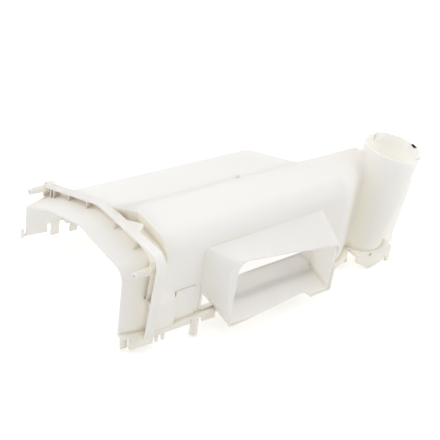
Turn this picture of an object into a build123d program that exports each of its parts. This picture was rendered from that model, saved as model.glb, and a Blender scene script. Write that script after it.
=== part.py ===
from build123d import *

import os
from math import cos, hypot, radians, sin, tan

# The moulded housing of a washing machine's detergent drawer, lying with its open side down.
# X points to the side with the air duct, Y from the front collar to the filling tube, Z up.
# While it is drawn, X = 0 is the outer face of the near wall, Y = 0 the back of the collar and
# Z = 0 the plane where the open side meets its cover.  The last step moves the origin to the
# middle of the part's own box, at the height of its lowest clip.

# Wall sizes
WALL = 2.2
RIB = 1.8
CUT = 20.0  # how far a hollow runs out past an open side

# Trough: the deep straight channel along the near side, drawn in towards the tube
TROUGH_HEIGHT = 106.0
TROUGH_START = 16.0
TROUGH_WIDTH = 72.0
TROUGH_CORNER = 15.0  # slanted corner of the trough behind the collar
TROUGH_TOP_RADIUS = 20.0
TROUGH_DRAW_IN = 4.0  # how far the near wall has closed in where the waist starts
RIDGE_DRAW_IN = 12.0  # how far the ridge has closed in where it meets the tube
WAIST_START = 250.0
WAIST_LENGTH = 30.0
NECK_WIDTH = 49.0  # of the trough past its waist, from its far side
WAIST_DEPTH = TROUGH_WIDTH - NECK_WIDTH
WAIST_OUTER_RADIUS = 26.0
WAIST_INNER_RADIUS = 16.0

# Wing: the sloping floor on the far side, which ends before the trough does
WING_SLOPE = 21.8
WING_WIDTH = 127.0
WING_END_WIDTH = 122.0
WING_END = 219.0
FAR_WALL_STRAIGHT = 8.0  # the far wall's foot, below the rounding of its edge

# Apron: the flared mouth in front of the collar, as corner points of its two end sections
APRON_LENGTH = 29.0
APRON_BACK = [(0, 94), (-88, 94), (-152, 69), (-206, 40)]
APRON_LIP = [(-6, 81), (-94, 81), (-158, 58), (-206, 31)]
APRON_RADII = [15, 40, 60, 4]

# Collar: the ribbed channel round the apron
COLLAR_DEPTH = 10.0
COLLAR_SKIN = 2.5
COLLAR_LINE = [(13, 0), (24.5, 110), (-94, 101.5), (-205, 54)]
COLLAR_RADII = [0, 14, 20, 4]
COLLAR_END_DROP = 14.0
COLLAR_CORE_X = -25.0  # a line inside the apron that closes the collar's outline
RIB_SETBACK = 1.0
RIB_STATIONS = (-24.0, -61.5, -115.0, -152.0, -183.0, -190.0)
LEG_RIB_FOOT_X = 4.0
LEG_RIB_DEPTH = 7.0
LEG_CROSS_Z = 45.0

# Locating pins on the collar
PIN_NEAR_OFFSET = (-16.0, -23.5)  # from the collar's near top corner
PIN_FAR_OFFSET = (1.0, -4.0)  # from the collar's far end
PIN_LENGTH = 27.0
PIN_BOSS_START = 3.0  # behind the collar's web
PIN_BOSS_LENGTH = 9.5
PIN_BOSS_RADIUS = 6.0
PIN_ROOT_RADIUS = 4.8
PIN_TIP_RADIUS = 3.2
PIN_HOLE_RADIUS = 1.3
PIN_HOLE_DEPTH = 8.0

# Sail: the flat gusset between the collar and the trough
SAIL = [(-54, -1), (-28, -1), (-38, 11)]
SAIL_THICKNESS = 2.5

# Filling tube: a funnel that leans back at the end of the trough
TUBE_RIM_RADIUS = 32.5
TUBE_RIM_SETBACK = 8.5  # from the trough's far side
TUBE_RIM_RISE = 9.0  # above the trough's ridge
TUBE_RIM = (TUBE_RIM_RADIUS + TUBE_RIM_SETBACK - TROUGH_WIDTH, 326.0, TROUGH_HEIGHT + TUBE_RIM_RISE)
TUBE_LEAN = 11.0
TUBE_FOOT_SHIFT = 7.5  # from the middle of the rim
TUBE_FOOT = (TUBE_RIM[0] + TUBE_FOOT_SHIFT, 299.0, 0.0)
TUBE_FOOT_RADIUS = 22.0
SLEEVE_RISE = 2.5
SLEEVE_DEPTH = 8.0
SLEEVE_SETBACK = 1.7  # from the tube's outer face at the rim
SLEEVE_WALL = 2.0
SLEEVE_START = 21.0  # direction of its first end, from X towards Y
SLEEVE_ARC = 159.0
TUBE_BLEND = 5.0
FIN_OFFSET_X = 3.5  # from the middle of the tube's foot
FIN = [(23, 0), (28, -12), (47, -12), (45, 2), (57, 71), (31, 86)]  # from the middle of the tube's foot

# Duct: the flattened port on the near wall
DUCT_START = 60.0
DUCT_END = 214.5
DUCT_LOW = 5.0
DUCT_HIGH = 85.0
DUCT_ROOT_RADII = [3, 3, 6, 2]
DUCT_INNER_RADII = [1, 1, 4, 1]
DUCT_MOUTH = [(77.5, 0), (211, 2), (221, 57), (75.5, 77)]
DUCT_MOUTH_RADII = [3, 3, 6, 16]
DUCT_OPENING = [(80.5, 2.4), (209, 4.2), (218, 54), (90.5, 72.5)]
DUCT_OPENING_RADII = [1, 1, 4, 13]
DUCT_REACH = 32.7
DUCT_LEAN = 8.0
DUCT_REBATE = 1.2
DUCT_REBATE_DEPTH = 2.0
DUCT_FLOOR_IN = 26.0
DUCT_FLOOR_RISE = 2.8
DUCT_CHEEK_IN = 8.5
DUCT_FLOOR_FRONT = [(33.5, 80.5), (23.5, 181.5), (30, 184.5), (45, 184.5), (45, 80.5)]  # cut back, in plan
DUCT_FLOOR_CORNER = [(0.5, 55), (0.5, 80), (31.5, 80), (31.5, 55)]  # left open below the arch, in plan
DUCT_FLOOR_CUT = 9.0
DUCT_SIDE_NOTCH = [(31, 24), (24.5, 33), (24.5, 44), (27, 52), (40, 52), (40, 24)]
ARCH = [(1.2, -9), (2.8, 29), (14.4, 36), (44, -9)]
ARCH_RADII = [0, 5, 6, 0]

# Mating flange and the small fittings on it
FLANGE = 6.5
FLANGE_THICKNESS = 3.0
LIP_DROP = 3.5  # the flange's edge turned down on the near side
LIP_WALL = 2.4
LIP_START = -2.0
LIP_END = 50.0
LOOP = (2.0, 5.0)
LOOP_Y = 3.0
BUTTRESS = (6.0, 26.0, 36.0)
BUTTRESS_START = 2.0
BUTTRESS_RAMP = 12.0
PAD = (1.2, 24.0, 41.0)
PAD_START = 31.0
BLOCK = (5.0, 26.0)
BLOCK_START = -19.0
BLOCK_DROP = 15.5
PEG_RADIUS = 4.3
PEG_DROP = 17.0
PEG_Y = 54.0
STUD_RADIUS = 2.0
STUD_DROP = 12.5
STUD_Y = (10.0, 17.5)
SKIRT = [(0, -8), (26, -10.5)]  # the far wall's lower edge, from the apron's lip backwards
HOOK_GAP = 2.5
HOOK_WIDTH = 3.5
HOOK_TOP = 1.5
HOOK_DROP = 9.5
FOOT_THICKNESS = 3.0
FOOT = [(-24, 3), (-24, -6), (-4, -20), (12, -16), (21, -10), (21, -18), (26, -18), (26, 3)]
FOOT_HOLE = (-5.0, 0.0)  # from the middle of the tube's foot
FOOT_HOLE_RADIUS = 2.0

# Snap clips: start along Y, width, drop, how far outside the wall, and 1 for near or -1 for far
CLIP_WALL = 2.4
CLIP_BARB = 1.6
CLIP_BARB_HEIGHT = 3.5
CLIPS = [
    (-26, 7, 17, 0, 1),
    (70, 15, 14, 0, 1),
    (205, 12, 17, 0, 1),
    (264, 8, 13, 5, 1),
    (2, 10, 17, 0, -1),
    (21, 9, 12, 0, -1),
    (92, 9, 17, 0, -1),
    (162, 9, 17, 0, -1),
]

# Small post on the ridge
NUB_RADIUS = 1.6
NUB_RISE = 5.0
NUB_Y = 143.0


def upright(y):
    """A drawing plane that faces the front at y: its own x is X and its own y is Z."""
    return Plane(origin=(0, y, 0), x_dir=(1, 0, 0), z_dir=(0, -1, 0))


def sideways(x):
    """A drawing plane that faces the near side at x: its own x is Y and its own y is Z."""
    return Plane(origin=(x, 0, 0), x_dir=(0, 1, 0), z_dir=(1, 0, 0))


def outline(plane, points, radii):
    """A closed outline with rounded corners, as a face on a plane."""
    return plane * make_face(FilletPolyline(*points, radius=radii, close=True))


def block(low, high):
    """A box between two corners."""
    size = [b - a for a, b in zip(low, high)]
    middle = [(a + b) / 2 for a, b in zip(low, high)]
    return Pos(*middle) * Box(*size)


def ridge_x(y):
    """Where the trough's roof turns into the wing's slope, at a station along the trough."""
    return -TROUGH_WIDTH + RIDGE_DRAW_IN * y / TUBE_FOOT[1]


def near_x(y):
    """The near wall's outer face at a station: the apron's, the trough's, then the waist's."""
    if y < 0:
        return -APRON_LIP[0][0] * y / APRON_LENGTH
    drawn = TROUGH_DRAW_IN * max(min(y, WAIST_START) - TROUGH_START, 0) / (WAIST_START - TROUGH_START)
    return -drawn - WAIST_DEPTH * min(max(y - WAIST_START, 0) / WAIST_LENGTH, 1)


def far_x(y):
    """The far wall's outer face at a station: the apron's, then the wing's."""
    return APRON_BACK[-1][0] if y < TROUGH_START else ridge_x(y) - wing_width(y)


def trough_plan(grow=0.0):
    """The trough's footprint, grown outwards or, with a minus sign, shrunk."""
    end = TUBE_FOOT[1]
    waist_end = WAIST_START + WAIST_LENGTH
    plan = outline(
        Plane.XY,
        [
            (near_x(TROUGH_START), TROUGH_START),
            (near_x(WAIST_START), WAIST_START),
            (near_x(waist_end), waist_end),
            (near_x(end), end),
            (ridge_x(end), end),
            (ridge_x(0), 0),
            (ridge_x(0) + TROUGH_CORNER, TROUGH_START),
        ],
        [0, WAIST_OUTER_RADIUS, WAIST_INNER_RADIUS, 0, 0, 0, 0],
    )
    return offset(plan, grow) if grow else plan


def trough(inset=0.0):
    """The trough as a block, or its hollow when inset is the wall thickness."""
    low = -CUT if inset else 0.0
    form = extrude(Pos(0, 0, low) * trough_plan(-inset), TROUGH_HEIGHT - inset - low)
    near_edge = form.edges().group_by(Axis.Z)[-1].sort_by(Axis.X)[-1]
    return fillet(near_edge, TROUGH_TOP_RADIUS - inset)


def wing_width(y):
    """How far the wing reaches from the ridge at a station."""
    return WING_WIDTH + (WING_END_WIDTH - WING_WIDTH) * y / WING_END


def wing_edge_radius(y):
    """The rounding of the wing's far edge that leaves the far wall its straight foot."""
    corner_z = TROUGH_HEIGHT - tan(radians(WING_SLOPE)) * wing_width(y)
    return (corner_z - FAR_WALL_STRAIGHT) / tan(radians(90 - WING_SLOPE) / 2)


def wing_section(y, inset):
    """The wing across its length: from the ridge down the slope and round to the far wall."""
    low = -CUT if inset else 0.0
    ridge = ridge_x(y)
    reach = wing_width(y) - inset
    top = TROUGH_HEIGHT - inset / cos(radians(WING_SLOPE))
    corner = (ridge - reach, top - tan(radians(WING_SLOPE)) * reach)
    points = [(ridge, low), (ridge, top), corner, (corner[0], low)]
    return outline(upright(y), points, [0, 0, wing_edge_radius(y) - inset, 0])


def wing(inset=0.0):
    """The wing as a block, or its hollow."""
    return loft([wing_section(inset, inset), wing_section(WING_END - inset, inset)])


def throat():
    """The open way under the ridge, from the wing's hollow into the trough's."""
    start = TROUGH_START + WALL
    end = WING_END - WALL
    lap = 4 * WALL
    top = TROUGH_HEIGHT - lap * tan(radians(WING_SLOPE)) - 2 * WALL
    window = Pos(0, (top - CUT) / 2) * Rectangle(2 * lap, top + CUT)
    return loft([upright(y) * Pos(ridge_x(y), 0) * window for y in (start, end)])


def apron_section(y, corners, inset):
    """The apron's arch at a station: a closed outline down to the mating plane."""
    low = -CUT if inset else 0.0
    points = [(corners[0][0], low)] + corners + [(corners[-1][0], low)]
    face = outline(upright(y), points, [0] + APRON_RADII + [0])
    return offset(face, -inset) if inset else face


def apron(inset=0.0):
    """The flared apron with the short straight stretch behind the collar, or its hollow."""
    back = apron_section(0, APRON_BACK, inset)
    lip = apron_section(-APRON_LENGTH, APRON_LIP, inset)
    form = loft([lip, back], ruled=True)
    form += extrude(back, TROUGH_START + WALL - inset, dir=(0, 1, 0))
    if inset:
        form += extrude(lip, CUT, dir=(0, -1, 0))
    return form


def doorway():
    """The open way from the apron into the trough, under the trough's front wall."""
    end = TROUGH_START + 2 * WALL
    way = extrude(apron_section(0, APRON_BACK, WALL), end, dir=(0, 1, 0))
    return way & block((ridge_x(0), 0, -CUT), (0, end, TROUGH_HEIGHT))


def collar_top(x):
    """The height of the collar's outer line between its near and middle corners."""
    (x1, z1), (x2, z2) = COLLAR_LINE[1:3]
    return z1 + (z2 - z1) * (x - x1) / (x2 - x1)


def collar_face(inset=0.0):
    """The collar's outline, closed through the inside of the apron."""
    end_x, end_z = COLLAR_LINE[-1]
    points = COLLAR_LINE + [
        (end_x, end_z - COLLAR_END_DROP),
        (COLLAR_CORE_X, end_z - COLLAR_END_DROP),
        (COLLAR_CORE_X, 0),
    ]
    face = outline(upright(0), points, COLLAR_RADII + [0, 0, 0])
    return offset(face, -inset) if inset else face


def plank(start, end, depth):
    """A rib between two points of the collar's section, standing forward from its web."""
    length = hypot(end[0] - start[0], end[1] - start[1])
    along = (end[0] - start[0], 0, end[1] - start[1])
    turn = Plane(origin=(start[0], 0, start[1]), x_dir=along, z_dir=(0, -1, 0))
    return extrude(turn * Pos(length / 2, 0) * Rectangle(length, RIB), depth)


def collar():
    """A skin round the apron, a web at its back and ribs across the channel between them."""
    form = extrude(collar_face(), COLLAR_DEPTH)
    skin = form - extrude(collar_face(COLLAR_SKIN), COLLAR_DEPTH)
    web = extrude(collar_face(), WALL)
    reach = COLLAR_DEPTH - RIB_SETBACK
    columns = [plank((x, 0), (x, COLLAR_LINE[1][1]), reach) for x in RIB_STATIONS]
    columns.append(plank(pin_places()[0], (LEG_RIB_FOOT_X, LEG_CROSS_Z), LEG_RIB_DEPTH))
    columns.append(plank((0, LEG_CROSS_Z), (COLLAR_LINE[1][0], LEG_CROSS_Z), LEG_RIB_DEPTH))
    ribs = [form & column for column in columns]
    return skin + web + ribs


def pin_places():
    """Where the two pins stand on the collar's web, as X and Z."""
    (near_corner_x, near_corner_z), (end_x, end_z) = COLLAR_LINE[1], COLLAR_LINE[-1]
    return [
        (near_corner_x + PIN_NEAR_OFFSET[0], near_corner_z + PIN_NEAR_OFFSET[1]),
        (end_x + PIN_FAR_OFFSET[0], end_z + PIN_FAR_OFFSET[1]),
    ]


def pin(x, z):
    """A tapered locating pin on its boss, with a blind hole in its tip."""
    root = Plane(origin=(x, 0, z), x_dir=(1, 0, 0), z_dir=(0, -1, 0))
    upward = (Align.CENTER, Align.CENTER, Align.MIN)
    boss = root.offset(-PIN_BOSS_START) * Cylinder(PIN_BOSS_RADIUS, PIN_BOSS_LENGTH, align=upward)
    shank = root * Cone(PIN_ROOT_RADIUS, PIN_TIP_RADIUS, PIN_LENGTH, align=upward)
    tip = root.offset(PIN_LENGTH - PIN_HOLE_DEPTH)
    return boss + shank - tip * Cylinder(PIN_HOLE_RADIUS, PIN_HOLE_DEPTH, align=upward)


def rim_plane():
    """The plane of the tube's rim, which leans back with the tube."""
    lean = radians(TUBE_LEAN)
    return Plane(origin=TUBE_RIM, x_dir=(1, 0, 0), z_dir=(0, sin(lean), cos(lean)))


def tube(inset=0.0):
    """The leaning funnel, level at its foot and square at its rim, or its bore run out at both."""
    foot = Vector(*TUBE_FOOT)
    lean = Vector(*TUBE_RIM) - foot
    flare = (TUBE_RIM_RADIUS - TUBE_FOOT_RADIUS) / lean.length * CUT
    start = Plane(origin=foot - lean.normalized() * CUT, z_dir=lean)
    cone = start * Cone(
        TUBE_FOOT_RADIUS - flare - inset,
        TUBE_RIM_RADIUS + flare - inset,
        lean.length + 2 * CUT,
        align=(Align.CENTER, Align.CENTER, Align.MIN),
    )
    if inset:
        return cone
    cone = split(cone, bisect_by=rim_plane(), keep=Keep.BOTTOM)
    return split(cone, bisect_by=Plane.XY, keep=Keep.TOP)


def sleeve():
    """The part ring inside the rim, which stands a little above it on the far side."""
    middle = TUBE_RIM_RADIUS - SLEEVE_SETBACK - SLEEVE_WALL / 2
    height = SLEEVE_DEPTH + SLEEVE_RISE
    section = Plane.XZ * Pos(middle, SLEEVE_RISE - height / 2) * Rectangle(SLEEVE_WALL, height)
    return rim_plane() * Rot(0, 0, SLEEVE_START) * revolve(section, Axis.Z, SLEEVE_ARC)


def neck():
    """The trough with the tube blended into its near wall."""
    body, spout = trough(), tube()
    joined = body + spout
    seam = new_edges(body, spout, combined=joined)
    return fillet(seam.filter_by(lambda edge: edge.center().Y < TUBE_FOOT[1] - WALL), TUBE_BLEND)


def tube_fin():
    """The upright fin behind the tube."""
    points = [(TUBE_FOOT[1] + y, z) for y, z in FIN]
    plane = sideways(TUBE_FOOT[0] + FIN_OFFSET_X - RIB / 2)
    return extrude(outline(plane, points, [0] * len(points)), RIB)


def duct_mouth_plane():
    """The plane of the duct's mouth, leaning back at the top: its own x is Y."""
    lean = radians(DUCT_LEAN)
    return Plane(origin=(DUCT_REACH, 0, 0), x_dir=(0, 1, 0), z_dir=(cos(lean), 0, sin(lean)))


def duct_root(inset, radii):
    """The duct's section at the near wall."""
    start, end = DUCT_START + inset, DUCT_END - inset
    low, high = DUCT_LOW + inset, DUCT_HIGH - inset
    points = [(start, low), (end, low), (end, high), (start, high)]
    return outline(sideways(near_x(WAIST_START)), points, radii)


def duct():
    """The duct's outer form, from inside the near wall to its mouth."""
    root = duct_root(0, DUCT_ROOT_RADII)
    mouth = outline(duct_mouth_plane(), DUCT_MOUTH, DUCT_MOUTH_RADII)
    return loft([root, mouth], ruled=True) - duct_arch() - duct_trims()


def passage():
    """The way through the duct, run out past the near wall and the mouth."""
    root = duct_root(WALL, DUCT_INNER_RADII)
    mouth = outline(duct_mouth_plane(), DUCT_OPENING, DUCT_OPENING_RADII)
    rebate = extrude(offset(mouth, DUCT_REBATE), -DUCT_REBATE_DEPTH)
    return loft([root, mouth], ruled=True) + extrude(mouth, CUT) + extrude(root, -CUT) + rebate


def duct_floor():
    """The duct's floor run on into the trough as a sloping shelf, with a short cheek at its back end."""
    start = DUCT_FLOOR_CORNER[1][1]
    end = DUCT_END - WALL
    fall = DUCT_LOW + WALL - DUCT_OPENING[0][1]
    top = DUCT_LOW + WALL + fall * near_x(WAIST_START) / DUCT_REACH
    inner = -DUCT_FLOOR_IN
    inner_top = top + DUCT_FLOOR_RISE
    section = [(0, top - WALL), (0, top), (inner, inner_top), (inner, inner_top - WALL)]
    shelf = extrude(outline(upright(start), section, [0] * 4), end + RIB - start, dir=(0, 1, 0))
    return shelf + block((-DUCT_CHEEK_IN, end, top), (0, end + RIB, DUCT_OPENING[2][1]))


def duct_trims():
    """The cuts in the duct's lower edges: the floor's front edge and open corner, and the side's notch."""
    below = Plane.XY.offset(-WALL)
    trims = [
        extrude(outline(below, points, [0] * len(points)), WALL + DUCT_FLOOR_CUT)
        for points in (DUCT_FLOOR_FRONT, DUCT_FLOOR_CORNER)
    ]
    side = outline(upright(DUCT_OPENING[1][0] - WALL), DUCT_SIDE_NOTCH, [0, 2, 2, 0, 0, 0])
    return trims + [extrude(side, CUT, dir=(0, 1, 0))]


def duct_arch():
    """The arched cut-out at the foot of the duct's slanting front wall."""
    run_y = DUCT_MOUTH[0][0] - DUCT_START
    plane = Plane(origin=(0, DUCT_START, 0), x_dir=(DUCT_REACH, run_y, 0), z_dir=(run_y, -DUCT_REACH, 0))
    return extrude(outline(plane, ARCH, ARCH_RADII), 2 * WALL, both=True)


def flange():
    """The outward rim along the mating plane, before the hollow is cut."""
    far = APRON_BACK[-1][0]
    footprint = make_face(
        Polyline(
            (ridge_x(0), 0),
            (ridge_x(0) - wing_width(0), 0),
            (ridge_x(WING_END) - wing_width(WING_END), WING_END),
            (ridge_x(WING_END), WING_END),
            close=True,
        )
    )
    skirt = make_face(
        Polyline(
            (APRON_LIP[0][0] + FLANGE, -APRON_LENGTH),
            (APRON_BACK[0][0] + FLANGE, 0),
            (APRON_BACK[0][0] + FLANGE, TROUGH_START),
            (far, TROUGH_START),
            (far, -APRON_LENGTH),
            close=True,
        )
    )
    plate = block(
        (TUBE_FOOT[0] - TUBE_FOOT_RADIUS, TUBE_FOOT[1] + FOOT[0][0], 0),
        (foot_x(), TUBE_FOOT[1] + FOOT[-1][0], FLANGE_THICKNESS),
    )
    plans = [trough_plan(FLANGE), offset(footprint, FLANGE), skirt]
    return plate + [extrude(plan, FLANGE_THICKNESS) for plan in plans]


def foot_x():
    """The outer face of the foot, just outside the tube."""
    return TUBE_FOOT[0] + TUBE_FOOT_RADIUS + WALL


def clip(start, width, drop, out, side):
    """A snap clip under a wall, with its barb on the outside."""
    middle = start + width / 2
    face = (near_x(middle) if side > 0 else far_x(middle)) + side * out
    section = [
        (-CLIP_WALL, FLANGE_THICKNESS / 2),
        (0, FLANGE_THICKNESS / 2),
        (0, 2 * CLIP_BARB_HEIGHT - drop),
        (CLIP_BARB, CLIP_BARB_HEIGHT - drop),
        (0, -drop),
        (-CLIP_WALL, -drop),
    ]
    points = [(face + side * u, z) for u, z in section]
    return extrude(outline(upright(start), points, [0] * len(points)), width, dir=(0, 1, 0))


def buttress():
    """The thick patch of wall beside the collar, ramped at its top."""
    out, width, height = BUTTRESS
    section = [(-WALL / 2, 0), (out, 0), (out, height), (-WALL / 2, height + BUTTRESS_RAMP)]
    return extrude(outline(upright(BUTTRESS_START), section, [0] * 4), width, dir=(0, 1, 0))


def far_skirt():
    """The deeper foot of the apron's far wall and the hook in front of it."""
    far = far_x(0)
    front = -APRON_LENGTH
    (start, first), (end, second) = SKIRT
    points = [(front + start, WALL), (front + start, first), (front + end, second), (front + end, WALL)]
    plane = sideways(far)
    panel = extrude(outline(plane, points, [0] * 4), WALL)
    tip = front - HOOK_GAP
    hook = block((far, tip - HOOK_WIDTH, -HOOK_DROP), (far + WALL, tip, HOOK_TOP))
    return panel + hook + block((far, tip - WALL, first), (far + WALL, front + WALL, first + WALL))


def foot():
    """The pointed plate below the tube, with the hook at its back."""
    points = [(TUBE_FOOT[1] + y, z) for y, z in FOOT]
    plane = sideways(foot_x() - FOOT_THICKNESS)
    return extrude(outline(plane, points, [0] * len(points)), FOOT_THICKNESS)


def fastening_holes():
    """The screw hole through the foot and the small loop in the flange's lip."""
    y, z = FOOT_HOLE
    screw = sideways(foot_x()) * Pos(TUBE_FOOT[1] + y, z) * Cylinder(FOOT_HOLE_RADIUS, 4 * FOOT_THICKNESS)
    loop = Pos(FLANGE, LOOP_Y, (FLANGE_THICKNESS - LIP_DROP) / 2) * Box(4 * LIP_WALL, *LOOP)
    return screw + loop


def fittings():
    """The lip, buttress, pad, latch block, studs, peg and clips along the mating plane."""
    downward = (Align.CENTER, Align.CENTER, Align.MAX)
    top = FLANGE_THICKNESS
    stud_x = FLANGE - STUD_RADIUS
    pieces = [
        block((FLANGE - LIP_WALL, LIP_START, -LIP_DROP), (FLANGE, LIP_END, top)),
        block((-WALL / 2, PAD_START, 0), (PAD[0], PAD_START + PAD[1], PAD[2])),
        block((-WALL, BLOCK_START, -BLOCK_DROP), (BLOCK[0] - WALL, BLOCK_START + BLOCK[1], top)),
        Pos(FLANGE, PEG_Y, top) * Cylinder(PEG_RADIUS, PEG_DROP + top, align=downward),
    ]
    for y in STUD_Y:
        pieces.append(Pos(stud_x, y, 0) * Cylinder(STUD_RADIUS, STUD_DROP, align=downward))
    return pieces + [buttress(), far_skirt(), foot()] + [clip(*row) for row in CLIPS]


def nub():
    """A small post on the ridge."""
    upward = (Align.CENTER, Align.CENTER, Align.MIN)
    post = Cylinder(NUB_RADIUS, WALL + NUB_RISE, align=upward)
    return Pos(ridge_x(NUB_Y), NUB_Y, TROUGH_HEIGHT - WALL) * post


def sail():
    """The flat gusset behind the collar, in line with the collar's outer face."""
    rise = collar_top(1) - collar_top(0)
    plane = Plane(origin=(0, 0, collar_top(0)), x_dir=(1, 0, rise), z_dir=(-rise, 0, 1))
    return extrude(outline(plane, SAIL, [0] * len(SAIL)), -SAIL_THICKNESS)


def housing():
    """The whole moulding: outer forms, less the hollow, with its fittings."""
    solid = apron() + collar() + neck() + wing() + duct() + flange() + tube_fin() + sail()
    solid += [pin(x, z) for x, z in pin_places()]
    hollow = apron(WALL) + doorway() + trough(WALL) + wing(WALL) + throat() + tube(WALL)
    shell = solid - hollow - passage()
    shell += duct_floor() + sleeve() + nub()
    shell += fittings()
    return shell - fastening_holes()


def main():
    part = housing()
    box = part.bounding_box()
    middle = box.center()
    part = Pos(-middle.X, -middle.Y, -box.min.Z) * part
    os.makedirs("parts", exist_ok=True)
    export_step(part, "parts/drawer_housing.step")
    print("origin moved from", middle.X, middle.Y, box.min.Z)


main()
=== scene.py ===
"""The moulded housing of a detergent drawer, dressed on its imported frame: an add-on run as a script."""

import bpy
import numpy as np
from bpy.props import FloatProperty, FloatVectorProperty, PointerProperty
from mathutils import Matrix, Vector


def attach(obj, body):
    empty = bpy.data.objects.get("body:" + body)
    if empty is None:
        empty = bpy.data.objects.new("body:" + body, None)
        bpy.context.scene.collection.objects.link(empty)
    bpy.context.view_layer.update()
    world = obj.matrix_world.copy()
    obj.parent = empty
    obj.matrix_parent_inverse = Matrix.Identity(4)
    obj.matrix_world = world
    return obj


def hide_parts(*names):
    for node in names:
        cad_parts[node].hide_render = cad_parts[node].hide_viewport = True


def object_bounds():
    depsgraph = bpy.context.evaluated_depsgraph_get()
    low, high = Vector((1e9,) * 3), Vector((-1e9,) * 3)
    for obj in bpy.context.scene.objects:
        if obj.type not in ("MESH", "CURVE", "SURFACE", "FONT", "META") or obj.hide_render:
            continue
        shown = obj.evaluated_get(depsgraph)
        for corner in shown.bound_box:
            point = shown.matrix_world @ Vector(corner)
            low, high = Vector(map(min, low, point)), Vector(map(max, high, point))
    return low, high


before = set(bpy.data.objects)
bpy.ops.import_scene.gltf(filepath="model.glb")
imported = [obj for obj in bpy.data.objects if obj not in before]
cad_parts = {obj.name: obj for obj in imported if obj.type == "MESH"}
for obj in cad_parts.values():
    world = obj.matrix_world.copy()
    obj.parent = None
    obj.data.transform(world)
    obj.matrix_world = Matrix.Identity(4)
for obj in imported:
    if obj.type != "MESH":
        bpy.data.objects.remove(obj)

bl_info = {
    "name": "Detergent Drawer Housing",
    "version": (1, 0, 0),
    "blender": (4, 5, 0),
    "location": "View3D > Sidebar > Drawer Housing",
    "description": "Dresses the moulded housing of a detergent drawer and sets its studio",
    "category": "Object",
}

CAD_LOW, CAD_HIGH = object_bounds()
NODE = "drawer_housing"

# Shell: places that round to the same step are one vertex, and large faces lead the normals by the weight
WELD_STEPS_PER_METRE = 1e6
NORMAL_WEIGHT = 60

# Duct floor where it runs on past its own back edge: two bars along Y that meet at the cheek.
# Each bar's end is its Y with the near and far X of its top, in metres.
TAIL_START_Y = -0.0265
TAIL_CHEEK_Y = 0.0526
TAIL_END_Y = 0.0665
LONG_BAR_NEAR_X = 0.06275
SHORT_BAR_NEAR_X = 0.08065
START_FAR_X = 0.06255
CHEEK_FAR_X = 0.06070
END_FAR_X = 0.05875
FLOOR_TAILS = (
    ((TAIL_START_Y, LONG_BAR_NEAR_X, START_FAR_X), (TAIL_CHEEK_Y, LONG_BAR_NEAR_X, CHEEK_FAR_X)),
    ((TAIL_CHEEK_Y, SHORT_BAR_NEAR_X, CHEEK_FAR_X), (TAIL_END_Y, SHORT_BAR_NEAR_X, END_FAR_X)),
)
BAR_STATIONS = 9

# Plane of the duct floor's top: its height at X = 0 and its fall along X
FLOOR_AT_ZERO = 0.03616
FLOOR_FALL = 0.1077

# Clouding of the plastic: its noise, and the noise values at which it starts and is full
PLASTIC = "ivory_moulded_plastic"
CLOUD_SCALE = 14.0
CLOUD_DETAIL = 3.0
CLOUD_ROUGHNESS = 0.55
CLOUD_START = 0.35
CLOUD_FULL = 0.75

# Painted warm bounce light in the hollows and painted shade in the creases: the open share of the sky at
# which each starts and is full
SKY_SAMPLES = 8
WARMTH_PAINT_START = 0.92
WARMTH_PAINT_FULL = 0.40
SHADE_PAINT_START = 0.76
SHADE_PAINT_FULL = 0.10

# Dark spot on the tube's rim: its middle and half lengths in metres, its turn, and its share of soft border
SPOT_MIDDLE = (0.0614, 0.1936, 0.1317)
SPOT_TURN = (0.19, 0.0, 0.0)
SPOT_HALF = (0.0050, 0.0030, 0.0022)
SPOT_BORDER = 0.25

# Gloss: uneven polish, and how the plastic bends and mirrors light
POLISH_SCALE = 55.0
POLISH_DETAIL = 4.0
ROUGHNESS_LOW = 0.38
ROUGHNESS_HIGH = 0.56
PLASTIC_IOR = 1.49
PLASTIC_SPECULAR = 0.42

# Relief: rounded edges, broad sink marks and fine grain, with depths in metres
EDGE_SAMPLES = 6
SINK_SCALE = 32.0
SINK_DETAIL = 1.0
SINK_STRENGTH = 0.35
SINK_DEPTH = 0.0008
GRAIN_DETAIL = 2.0
GRAIN_STRENGTH = 0.12
GRAIN_DEPTH = 0.00008

# Studio: gap under the housing in metres, white that the floor shows to the camera, lamps and lens
FLOOR_GAP = 0.0002
FLOOR_WHITE = 0.35
WHITE = (1.0, 1.0, 1.0, 1.0)
LAMPS = ("back", "left", "right", "top")
PICTURE_SIDE = 440
FOCAL_PIXELS = 1300
SENSOR_MM = 36.0
SIGHT_END = 50.0


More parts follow.
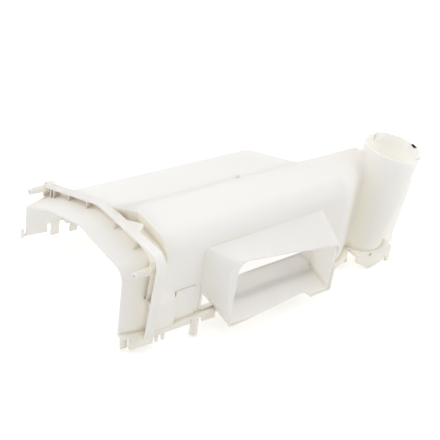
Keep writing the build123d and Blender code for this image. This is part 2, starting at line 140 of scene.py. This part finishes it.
class HousingLook(bpy.types.PropertyGroup):
    """Colours and sizes of the moulded plastic"""

    ivory: FloatVectorProperty(
        name="Ivory", description="Colour of the plastic",
        subtype="COLOR", size=3, min=0.0, max=1.0, default=(0.866, 0.864, 0.860))
    cloud: FloatVectorProperty(
        name="Clouding", description="Slightly yellower colour in broad patches",
        subtype="COLOR", size=3, min=0.0, max=1.0, default=(0.856, 0.850, 0.836))
    # Painted warm bounce light: the tint laid on faces that other walls enclose
    painted_bounce_warmth: FloatVectorProperty(
        name="Crevice", description="Warm colour of the faces that other walls enclose",
        subtype="COLOR", size=3, min=0.0, max=1.0, default=(0.975, 0.925, 0.73))
    painted_warmth_reach: FloatProperty(
        name="Crevice Reach", description="How far off a wall still encloses a face",
        subtype="DISTANCE", unit="LENGTH", min=0.0005, default=0.05)
    # Painted shade: the dark tone laid into tight corners, where shade falls
    painted_crease_shade: FloatVectorProperty(
        name="Crease", description="Colour of the tight corners, where dust and shade gather",
        subtype="COLOR", size=3, min=0.0, max=1.0, default=(0.48, 0.40, 0.32))
    painted_shade_reach: FloatProperty(
        name="Crease Reach", description="How far a tight corner's shade reaches",
        subtype="DISTANCE", unit="LENGTH", min=0.0002, default=0.010)
    rim_mark: FloatVectorProperty(
        name="Rim Mark", description="Colour of the dark scuff on the tube's rim",
        subtype="COLOR", size=3, min=0.0, max=1.0, default=(0.02, 0.018, 0.015))
    edge_softness: FloatProperty(
        name="Edge Softness", description="Radius at which the moulded edges look rounded",
        subtype="DISTANCE", unit="LENGTH", min=0.0, default=0.0006)
    grain_size: FloatProperty(
        name="Grain Size", description="Length of the fine moulding grain",
        subtype="DISTANCE", unit="LENGTH", min=0.0001, default=0.0009)
    glow: FloatProperty(
        name="Glow", description="Share of the light that passes into the thin walls",
        subtype="FACTOR", min=0.0, max=1.0, default=0.5)
    glow_tone: FloatVectorProperty(
        name="Glow Tone", description="Colour that the walls give to the light they pass",
        subtype="COLOR", size=3, min=0.0, max=1.0, default=(0.970, 0.962, 0.951))
    floor_wall: FloatProperty(
        name="Floor Wall", description="Thickness of the duct's floor",
        subtype="DISTANCE", unit="LENGTH", min=0.0005, default=0.0022)
    crease_angle: FloatProperty(
        name="Crease Angle", description="Edges that turn more than this stay sharp",
        subtype="ANGLE", unit="ROTATION", min=0.0, default=0.50)


class StageLook(bpy.types.PropertyGroup):
    """Floor, lamps and camera of the studio"""

    floor: FloatVectorProperty(
        name="Floor", description="Colour of the floor",
        subtype="COLOR", size=3, min=0.0, max=1.0, default=(0.93, 0.93, 0.93))
    floor_side: FloatProperty(
        name="Floor Side", description="Length of the floor's side",
        subtype="DISTANCE", unit="LENGTH", min=1.0, default=12.0)
    sky: FloatProperty(
        name="Sky", description="Strength of the even light from all round",
        min=0.0, default=0.58)
    lamp_side: FloatProperty(
        name="Lamp Side", description="Length of each soft lamp's side",
        subtype="DISTANCE", unit="LENGTH", min=0.01, default=1.3)
    back_power: FloatProperty(
        name="Back Lamp", description="Power of the lamp behind the trough",
        unit="POWER", min=0.0, default=9.0)
    back_place: FloatVectorProperty(
        name="Back Place", description="Where the back lamp hangs",
        subtype="XYZ", unit="LENGTH", size=3, default=(-1.1, 1.1, 1.6))
    left_power: FloatProperty(
        name="Left Lamp", description="Power of the lamp before the collar",
        unit="POWER", min=0.0, default=6.9)
    left_place: FloatVectorProperty(
        name="Left Place", description="Where the left lamp hangs",
        subtype="XYZ", unit="LENGTH", size=3, default=(-0.9, -1.6, 1.2))
    right_power: FloatProperty(
        name="Right Lamp", description="Power of the lamp beside the tube",
        unit="POWER", min=0.0, default=11.3)
    right_place: FloatVectorProperty(
        name="Right Place", description="Where the right lamp hangs",
        subtype="XYZ", unit="LENGTH", size=3, default=(1.2, 1.6, 1.0))
    top_power: FloatProperty(
        name="Top Lamp", description="Power of the lamp overhead",
        unit="POWER", min=0.0, default=8.2)
    top_place: FloatVectorProperty(
        name="Top Place", description="Where the top lamp hangs",
        subtype="XYZ", unit="LENGTH", size=3, default=(0.0, 0.05, 2.0))
    camera_place: FloatVectorProperty(
        name="Camera Place", description="Where the camera stands",
        subtype="XYZ", unit="LENGTH", size=3, default=(0.902453, -0.737619, 0.873700))
    camera_turn: FloatVectorProperty(
        name="Camera Turn", description="The camera's turn about X, Y and Z",
        subtype="EULER", unit="ROTATION", size=3, default=(0.950052, -0.110799, 0.975313))


# Shapes

def welded(mesh):
    """Corners of the loose triangles that share a place become one vertex.

    Each vertex's place is rounded to a micrometre, equal places get one number, and every triangle
    is three of those numbers. Triangles that close up to a line are left out.
    """
    places = np.empty(len(mesh.vertices) * 3, np.float64)
    mesh.vertices.foreach_get("co", places)
    places = places.reshape(-1, 3)
    corners = np.empty(len(mesh.loops), np.int64)
    mesh.loops.foreach_get("vertex_index", corners)
    steps = np.round(places * WELD_STEPS_PER_METRE).astype(np.int64)
    _, first, number = np.unique(steps, axis=0, return_index=True, return_inverse=True)
    triangles = number.reshape(-1)[corners].reshape(-1, 3)
    a, b, c = triangles.T
    triangles = triangles[(a != b) & (b != c) & (c != a)]
    return places[first], triangles


def mark_creases(mesh, angle):
    """An edge is sharp where the normals of its two triangles differ by more than the angle.

    The edge numbers of all the triangles' sides are sorted, each with its triangle, so that the two
    triangles of an edge come next to each other; the cosine between their normals decides.
    """
    count = len(mesh.polygons)
    normals = np.empty(count * 3, np.float32)
    mesh.polygons.foreach_get("normal", normals)
    normals = normals.reshape(-1, 3)
    edges = np.empty(len(mesh.loops), np.int64)
    mesh.loops.foreach_get("edge_index", edges)
    faces = np.repeat(np.arange(count), 3)
    order = np.argsort(edges, kind="stable")
    edges = edges[order]
    faces = faces[order]
    pair = np.nonzero(edges[:-1] == edges[1:])[0]
    cosine = np.einsum("ij,ij->i", normals[faces[pair]], normals[faces[pair + 1]])
    sharp = np.zeros(len(mesh.edges), bool)
    sharp[edges[pair]] = cosine < np.cos(angle)
    attribute = mesh.attributes.new("sharp_edge", "BOOLEAN", "EDGE")
    attribute.data.foreach_set("value", sharp)
    mesh.polygons.foreach_set("use_smooth", np.ones(count, bool))


def floor_bar(ends, thickness):
    """A flat bar as a four-cornered profile carried along Y from one end to the other.

    Its top lies in the plane z = height at zero less the fall times x, its underside the thickness
    lower, and its two long sides run straight between their places at the ends.
    """
    start, end = np.array(ends)
    share = np.linspace(0.0, 1.0, BAR_STATIONS)[:, None]
    y, near, far = ((1 - share) * start + share * end).T
    x = np.stack([near, far, far, near], axis=1)
    drop = np.array([0.0, 0.0, thickness, thickness])
    z = FLOOR_AT_ZERO - FLOOR_FALL * x - drop
    places = np.stack([x, np.broadcast_to(y[:, None], x.shape), z], axis=-1).reshape(-1, 3)

    around = len(drop)
    i, j = np.meshgrid(np.arange(BAR_STATIONS - 1), np.arange(around), indexing="ij")
    a = (around * i + j).ravel()
    b = (around * i + (j + 1) % around).ravel()
    lower = np.stack([a, a + around, b + around], axis=1)
    upper = np.stack([a, b + around, b], axis=1)
    first_cap = np.array([[0, 1, 2], [0, 2, 3]])
    last_cap = np.array([[2, 1, 0], [3, 2, 0]]) + around * (BAR_STATIONS - 1)
    return places, np.concatenate([lower, upper, first_cap, last_cap])


def floor_square(side, height):
    """A flat square about the origin: each corner is half a side off along X and along Y, at the height."""
    half = side / 2
    u, v = np.meshgrid((-half, half), (-half, half))
    places = np.stack([u.ravel(), v.ravel(), np.full(u.size, height)], axis=1)
    return places, np.array([[0, 1, 3, 2]])


def new_piece(name, places, faces):
    """A mesh object at the origin, with its place in its mesh."""
    mesh = bpy.data.meshes.new(name)
    mesh.from_pydata(places.tolist(), [], faces.tolist())
    mesh.update()
    piece = bpy.data.objects.new(name, mesh)
    bpy.context.scene.collection.objects.link(piece)
    return piece


# Materials

class NodeBench:
    """Short ways to build the node tree of a material or a world from nothing"""

    def __init__(self, owner):
        owner.use_nodes = True
        self.tree = owner.node_tree
        self.tree.nodes.clear()

    def add(self, kind, sockets=None, **settings):
        """A node with its settings. Each socket named takes a constant or another node's output."""
        node = self.tree.nodes.new(kind)
        for name, value in settings.items():
            setattr(node, name, value)
        for name, value in (sockets or {}).items():
            if isinstance(value, bpy.types.NodeSocket):
                self.tree.links.new(value, node.inputs[name])
            else:
                node.inputs[name].default_value = value
        return node

    def noise(self, place, scale, detail, **sockets):
        """Even noise, with the scale as swells to a metre."""
        values = {"Vector": place, "Scale": scale, "Detail": detail, **sockets}
        return self.add("ShaderNodeTexNoise", values).outputs["Fac"]

    def sky(self, reach):
        """The share of the sky that is open above a place, counting walls within the reach."""
        node = self.add("ShaderNodeAmbientOcclusion", {"Distance": reach}, samples=SKY_SAMPLES)
        return node.outputs["AO"]

    def span(self, value, low, high):
        """A value between 0 and 1 spread over the range from low to high."""
        values = {"Value": value, "To Min": low, "To Max": high}
        return self.add("ShaderNodeMapRange", values).outputs["Result"]

    def rise(self, value, start, full, **settings):
        """0 where the value is at the start, 1 where it is at the full, and smooth or straight in between."""
        values = {"Value": value, "From Min": start, "From Max": full}
        return self.add("ShaderNodeMapRange", values, **settings).outputs["Result"]

    def mix(self, share, first, second):
        """The first colour where the share is 0, the second where it is 1."""
        values = {"Factor": share, "A": first, "B": second}
        return self.add("ShaderNodeMix", values, data_type="RGBA").outputs["Result"]

    def math(self, operation, first, second):
        """Two numbers put together by the operation."""
        return self.add("ShaderNodeMath", {0: first, 1: second}, operation=operation).outputs["Value"]

    def bump(self, height, strength, depth, normal):
        """The normal, tilted by the slopes of the height."""
        values = {"Height": height, "Strength": strength, "Distance": depth, "Normal": normal}
        return self.add("ShaderNodeBump", values).outputs["Normal"]


def opaque(colour):
    """The colour with a full alpha."""
    return (*colour, 1.0)


def clouded_ivory(bench, place, look):
    """Ivory that turns slightly yellower in broad patches."""
    clouds = bench.noise(place, CLOUD_SCALE, CLOUD_DETAIL, Roughness=CLOUD_ROUGHNESS)
    body = bench.add("ShaderNodeValToRGB", {"Fac": clouds})
    start, full = body.color_ramp.elements
    start.position = CLOUD_START
    start.color = opaque(look.ivory)
    full.position = CLOUD_FULL
    full.color = opaque(look.cloud)
    return body.outputs["Color"]


def rim_spot(bench, place):
    """1 in a small ellipsoid on the tube's rim, fading to 0 at its border."""
    values = {"Vector": place, "Location": SPOT_MIDDLE, "Rotation": SPOT_TURN, "Scale": SPOT_HALF}
    around = bench.add("ShaderNodeMapping", values, vector_type="TEXTURE").outputs["Vector"]
    ball = bench.add("ShaderNodeTexGradient", {"Vector": around}, gradient_type="SPHERICAL")
    return bench.rise(ball.outputs["Fac"], 0.0, SPOT_BORDER, interpolation_type="SMOOTHSTEP")


def moulded_relief(bench, place, look):
    """Normals of the moulding: rounded edges, then broad sink marks, then fine grain."""
    edges = bench.add("ShaderNodeBevel", {"Radius": look.edge_softness}, samples=EDGE_SAMPLES)
    waves = bench.noise(place, SINK_SCALE, SINK_DETAIL)
    sunk = bench.bump(waves, SINK_STRENGTH, SINK_DEPTH, edges.outputs["Normal"])
    grain = bench.noise(place, 1.0 / look.grain_size, GRAIN_DETAIL)
    return bench.bump(grain, GRAIN_STRENGTH, GRAIN_DEPTH, sunk)


def moulded_plastic(look):
    """Ivory plastic as moulded: broad clouding, fine grain, painted warm bounce light in the hollows, painted
    shade in the tight corners and one dark spot.

    The walls are thin, so a share of the light passes through them. Faces met from inside the wall
    have a neutral tone, because the painted warm bounce light there would colour the outside.
    """
    if PLASTIC in bpy.data.materials:
        return bpy.data.materials[PLASTIC]
    material = bpy.data.materials.new(PLASTIC)
    bench = NodeBench(material)
    place = bench.add("ShaderNodeTexCoord").outputs["Object"]
    inside = bench.add("ShaderNodeNewGeometry").outputs["Backfacing"]
    outside = bench.math("SUBTRACT", 1.0, inside)
    glow_tone = opaque(look.glow_tone)
    painted_shade_tone = opaque(look.painted_crease_shade)
    spot_tone = opaque(look.rim_mark)

    # Painted light read from ambient occlusion: a warm bounce tint on faces that walls enclose, and painted
    # shade in the tight corners
    painted_warmth = bench.rise(bench.sky(look.painted_warmth_reach), WARMTH_PAINT_START, WARMTH_PAINT_FULL)
    corner = bench.rise(bench.sky(look.painted_shade_reach), SHADE_PAINT_START, SHADE_PAINT_FULL)
    painted_crease_shade = bench.math("MULTIPLY", corner, outside)
    spot = rim_spot(bench, place)

    warmth_painted = bench.mix(painted_warmth, clouded_ivory(bench, place, look), opaque(look.painted_bounce_warmth))
    shade_painted = bench.mix(painted_crease_shade, warmth_painted, painted_shade_tone)
    cleared = bench.mix(inside, shade_painted, glow_tone)
    surface = bench.mix(spot, cleared, spot_tone)

    # The painted corner shade also darkens the light that passes through the walls
    glow_shade_painted = bench.mix(painted_crease_shade, glow_tone, painted_shade_tone)
    passed = bench.mix(spot, glow_shade_painted, spot_tone)

    polish = bench.noise(place, POLISH_SCALE, POLISH_DETAIL)
    skin = bench.add("ShaderNodeBsdfPrincipled", {
        "Base Color": surface,
        "Roughness": bench.span(polish, ROUGHNESS_LOW, ROUGHNESS_HIGH),
        "Normal": moulded_relief(bench, place, look),
        "IOR": PLASTIC_IOR,
        "Specular IOR Level": PLASTIC_SPECULAR,
    })
    through = bench.add("ShaderNodeBsdfTranslucent", {"Color": passed})
    wall = bench.add("ShaderNodeMixShader", {
        "Fac": look.glow, 1: skin.outputs["BSDF"], 2: through.outputs["BSDF"]})
    bench.add("ShaderNodeOutputMaterial", {"Surface": wall.outputs["Shader"]})
    return material


def seen_rays(bench):
    """1 for rays from the camera, off gloss and through clear things, 0 for rays that carry light."""
    path = bench.add("ShaderNodeLightPath").outputs
    gloss = bench.math("MAXIMUM", path["Is Camera Ray"], path["Is Glossy Ray"])
    return bench.math("MAXIMUM", gloss, path["Is Transmission Ray"])


def floor_paint(stage):
    """Pale floor: it takes light and shadow as paint does, and the camera sees some of it as plain white."""
    material = bpy.data.materials.new("pale_floor")
    bench = NodeBench(material)
    paint = bench.add("ShaderNodeBsdfDiffuse", {"Color": opaque(stage.floor)})
    strength = bench.math("MULTIPLY", seen_rays(bench), FLOOR_WHITE)
    light = bench.add("ShaderNodeEmission", {"Strength": strength})
    both = bench.add("ShaderNodeAddShader", {0: paint.outputs["BSDF"], 1: light.outputs["Emission"]})
    bench.add("ShaderNodeOutputMaterial", {"Surface": both.outputs["Shader"]})
    return material


def white_room(stage):
    """The world: plain white to the camera and an even soft light for everything else."""
    world = bpy.data.worlds.new("white_room")
    bench = NodeBench(world)
    soft = bench.add("ShaderNodeBackground", {"Color": WHITE, "Strength": stage.sky})
    white = bench.add("ShaderNodeBackground", {"Color": WHITE, "Strength": 1.0})
    choice = bench.add("ShaderNodeMixShader", {
        "Fac": seen_rays(bench), 1: soft.outputs["Background"], 2: white.outputs["Background"]})
    bench.add("ShaderNodeOutputWorld", {"Surface": choice.outputs["Shader"]})
    return world


# Lamps and camera

def soft_lamp(scene, name, place, power, side):
    """A square area lamp turned towards the middle of the housing."""
    lamp = bpy.data.lights.new(name, "AREA")
    lamp.shape = "SQUARE"
    lamp.size = side
    lamp.energy = power
    holder = bpy.data.objects.new(name, lamp)
    holder.location = place
    x, y, z = np.array(place) - (np.array(CAD_LOW) + np.array(CAD_HIGH)) / 2
    tilt = np.arctan2(np.hypot(x, y), z)
    swing = np.arctan2(x, -y)
    holder.rotation_euler = (tilt, 0.0, swing)
    scene.collection.objects.link(holder)


def photo_camera(scene, place, turn):
    """The camera at the photograph's place, with its focal length given in pixels of the picture."""
    lens = bpy.data.cameras.new("photo_camera")
    lens.sensor_width = SENSOR_MM
    lens.lens = SENSOR_MM * FOCAL_PIXELS / PICTURE_SIDE
    lens.clip_end = SIGHT_END
    camera = bpy.data.objects.new("photo_camera", lens)
    camera.location = place
    camera.rotation_euler = turn
    scene.collection.objects.link(camera)
    scene.camera = camera


# Steps

class HOUSING_OT_moulded_shell(bpy.types.Operator):
    """Put the housing's shell, with smooth curves and its plastic, in the node's place"""

    bl_idname = "housing.moulded_shell"
    bl_label = "Moulded Shell"

    def execute(self, context):
        look = context.scene.housing_look
        places, triangles = welded(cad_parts[NODE].data)
        if len(triangles) == 0:
            raise RuntimeError("the packed housing has no triangles")
        shell = new_piece("moulded_shell", places, triangles)
        mark_creases(shell.data, look.crease_angle)
        even = shell.modifiers.new("even_normals", "WEIGHTED_NORMAL")
        even.keep_sharp = True
        even.weight = NORMAL_WEIGHT
        shell.data.materials.append(moulded_plastic(look))
        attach(shell, "root")
        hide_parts(NODE)
        return {"FINISHED"}


class HOUSING_OT_floor_tails(bpy.types.Operator):
    """Run the duct's floor on behind its opening, as far as the photograph shows it"""

    bl_idname = "housing.floor_tails"
    bl_label = "Duct Floor Tails"

    def execute(self, context):
        look = context.scene.housing_look
        for number, ends in enumerate(FLOOR_TAILS, 1):
            bar = new_piece(f"duct_floor_tail_{number}", *floor_bar(ends, look.floor_wall))
            if len(bar.data.polygons) == 0:
                raise RuntimeError("the duct's floor has no faces")
            mark_creases(bar.data, look.crease_angle)
            bar.data.materials.append(moulded_plastic(look))
            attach(bar, "root")
        return {"FINISHED"}


class HOUSING_OT_studio(bpy.types.Operator):
    """Set the pale floor, the soft lamps and the camera"""

    bl_idname = "housing.studio"
    bl_label = "Studio"

    def execute(self, context):
        scene = context.scene
        stage = scene.housing_stage
        floor = new_piece("pale_floor", *floor_square(stage.floor_side, CAD_LOW[2] - FLOOR_GAP))
        floor.data.materials.append(floor_paint(stage))
        scene.world = white_room(stage)
        for name in LAMPS:
            place = getattr(stage, name + "_place")
            power = getattr(stage, name + "_power")
            soft_lamp(scene, name + "_lamp", place, power, stage.lamp_side)
        photo_camera(scene, stage.camera_place, stage.camera_turn)
        scene.view_settings.view_transform = "Standard"
        return {"FINISHED"}


class HOUSING_PT_panel(bpy.types.Panel):
    """Sidebar panel with the housing's steps and their values"""

    bl_idname = "HOUSING_PT_panel"
    bl_label = "Drawer Housing"
    bl_space_type = "VIEW_3D"
    bl_region_type = "UI"
    bl_category = "Drawer Housing"

    def draw(self, context):
        scene = context.scene
        steps = (
            (scene.housing_look, (HOUSING_OT_moulded_shell, HOUSING_OT_floor_tails)),
            (scene.housing_stage, (HOUSING_OT_studio,)),
        )
        for group, operators in steps:
            for name in group.__annotations__:
                self.layout.prop(group, name)
            for operator in operators:
                self.layout.operator(operator.bl_idname)


CLASSES = (
    HousingLook,
    StageLook,
    HOUSING_OT_moulded_shell,
    HOUSING_OT_floor_tails,
    HOUSING_OT_studio,
    HOUSING_PT_panel,
)


def register():
    """Registers the classes and hangs the two groups of values on the scene."""
    for kind in CLASSES:
        bpy.utils.register_class(kind)
    bpy.types.Scene.housing_look = PointerProperty(type=HousingLook)
    bpy.types.Scene.housing_stage = PointerProperty(type=StageLook)


def unregister():
    """Takes the groups and the classes away again."""
    del bpy.types.Scene.housing_stage
    del bpy.types.Scene.housing_look
    for kind in reversed(CLASSES):
        bpy.utils.unregister_class(kind)


def main():
    """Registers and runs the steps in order."""
    register()
    bpy.ops.housing.moulded_shell()
    bpy.ops.housing.floor_tails()
    bpy.ops.housing.studio()


if __name__ == "__main__":
    main()
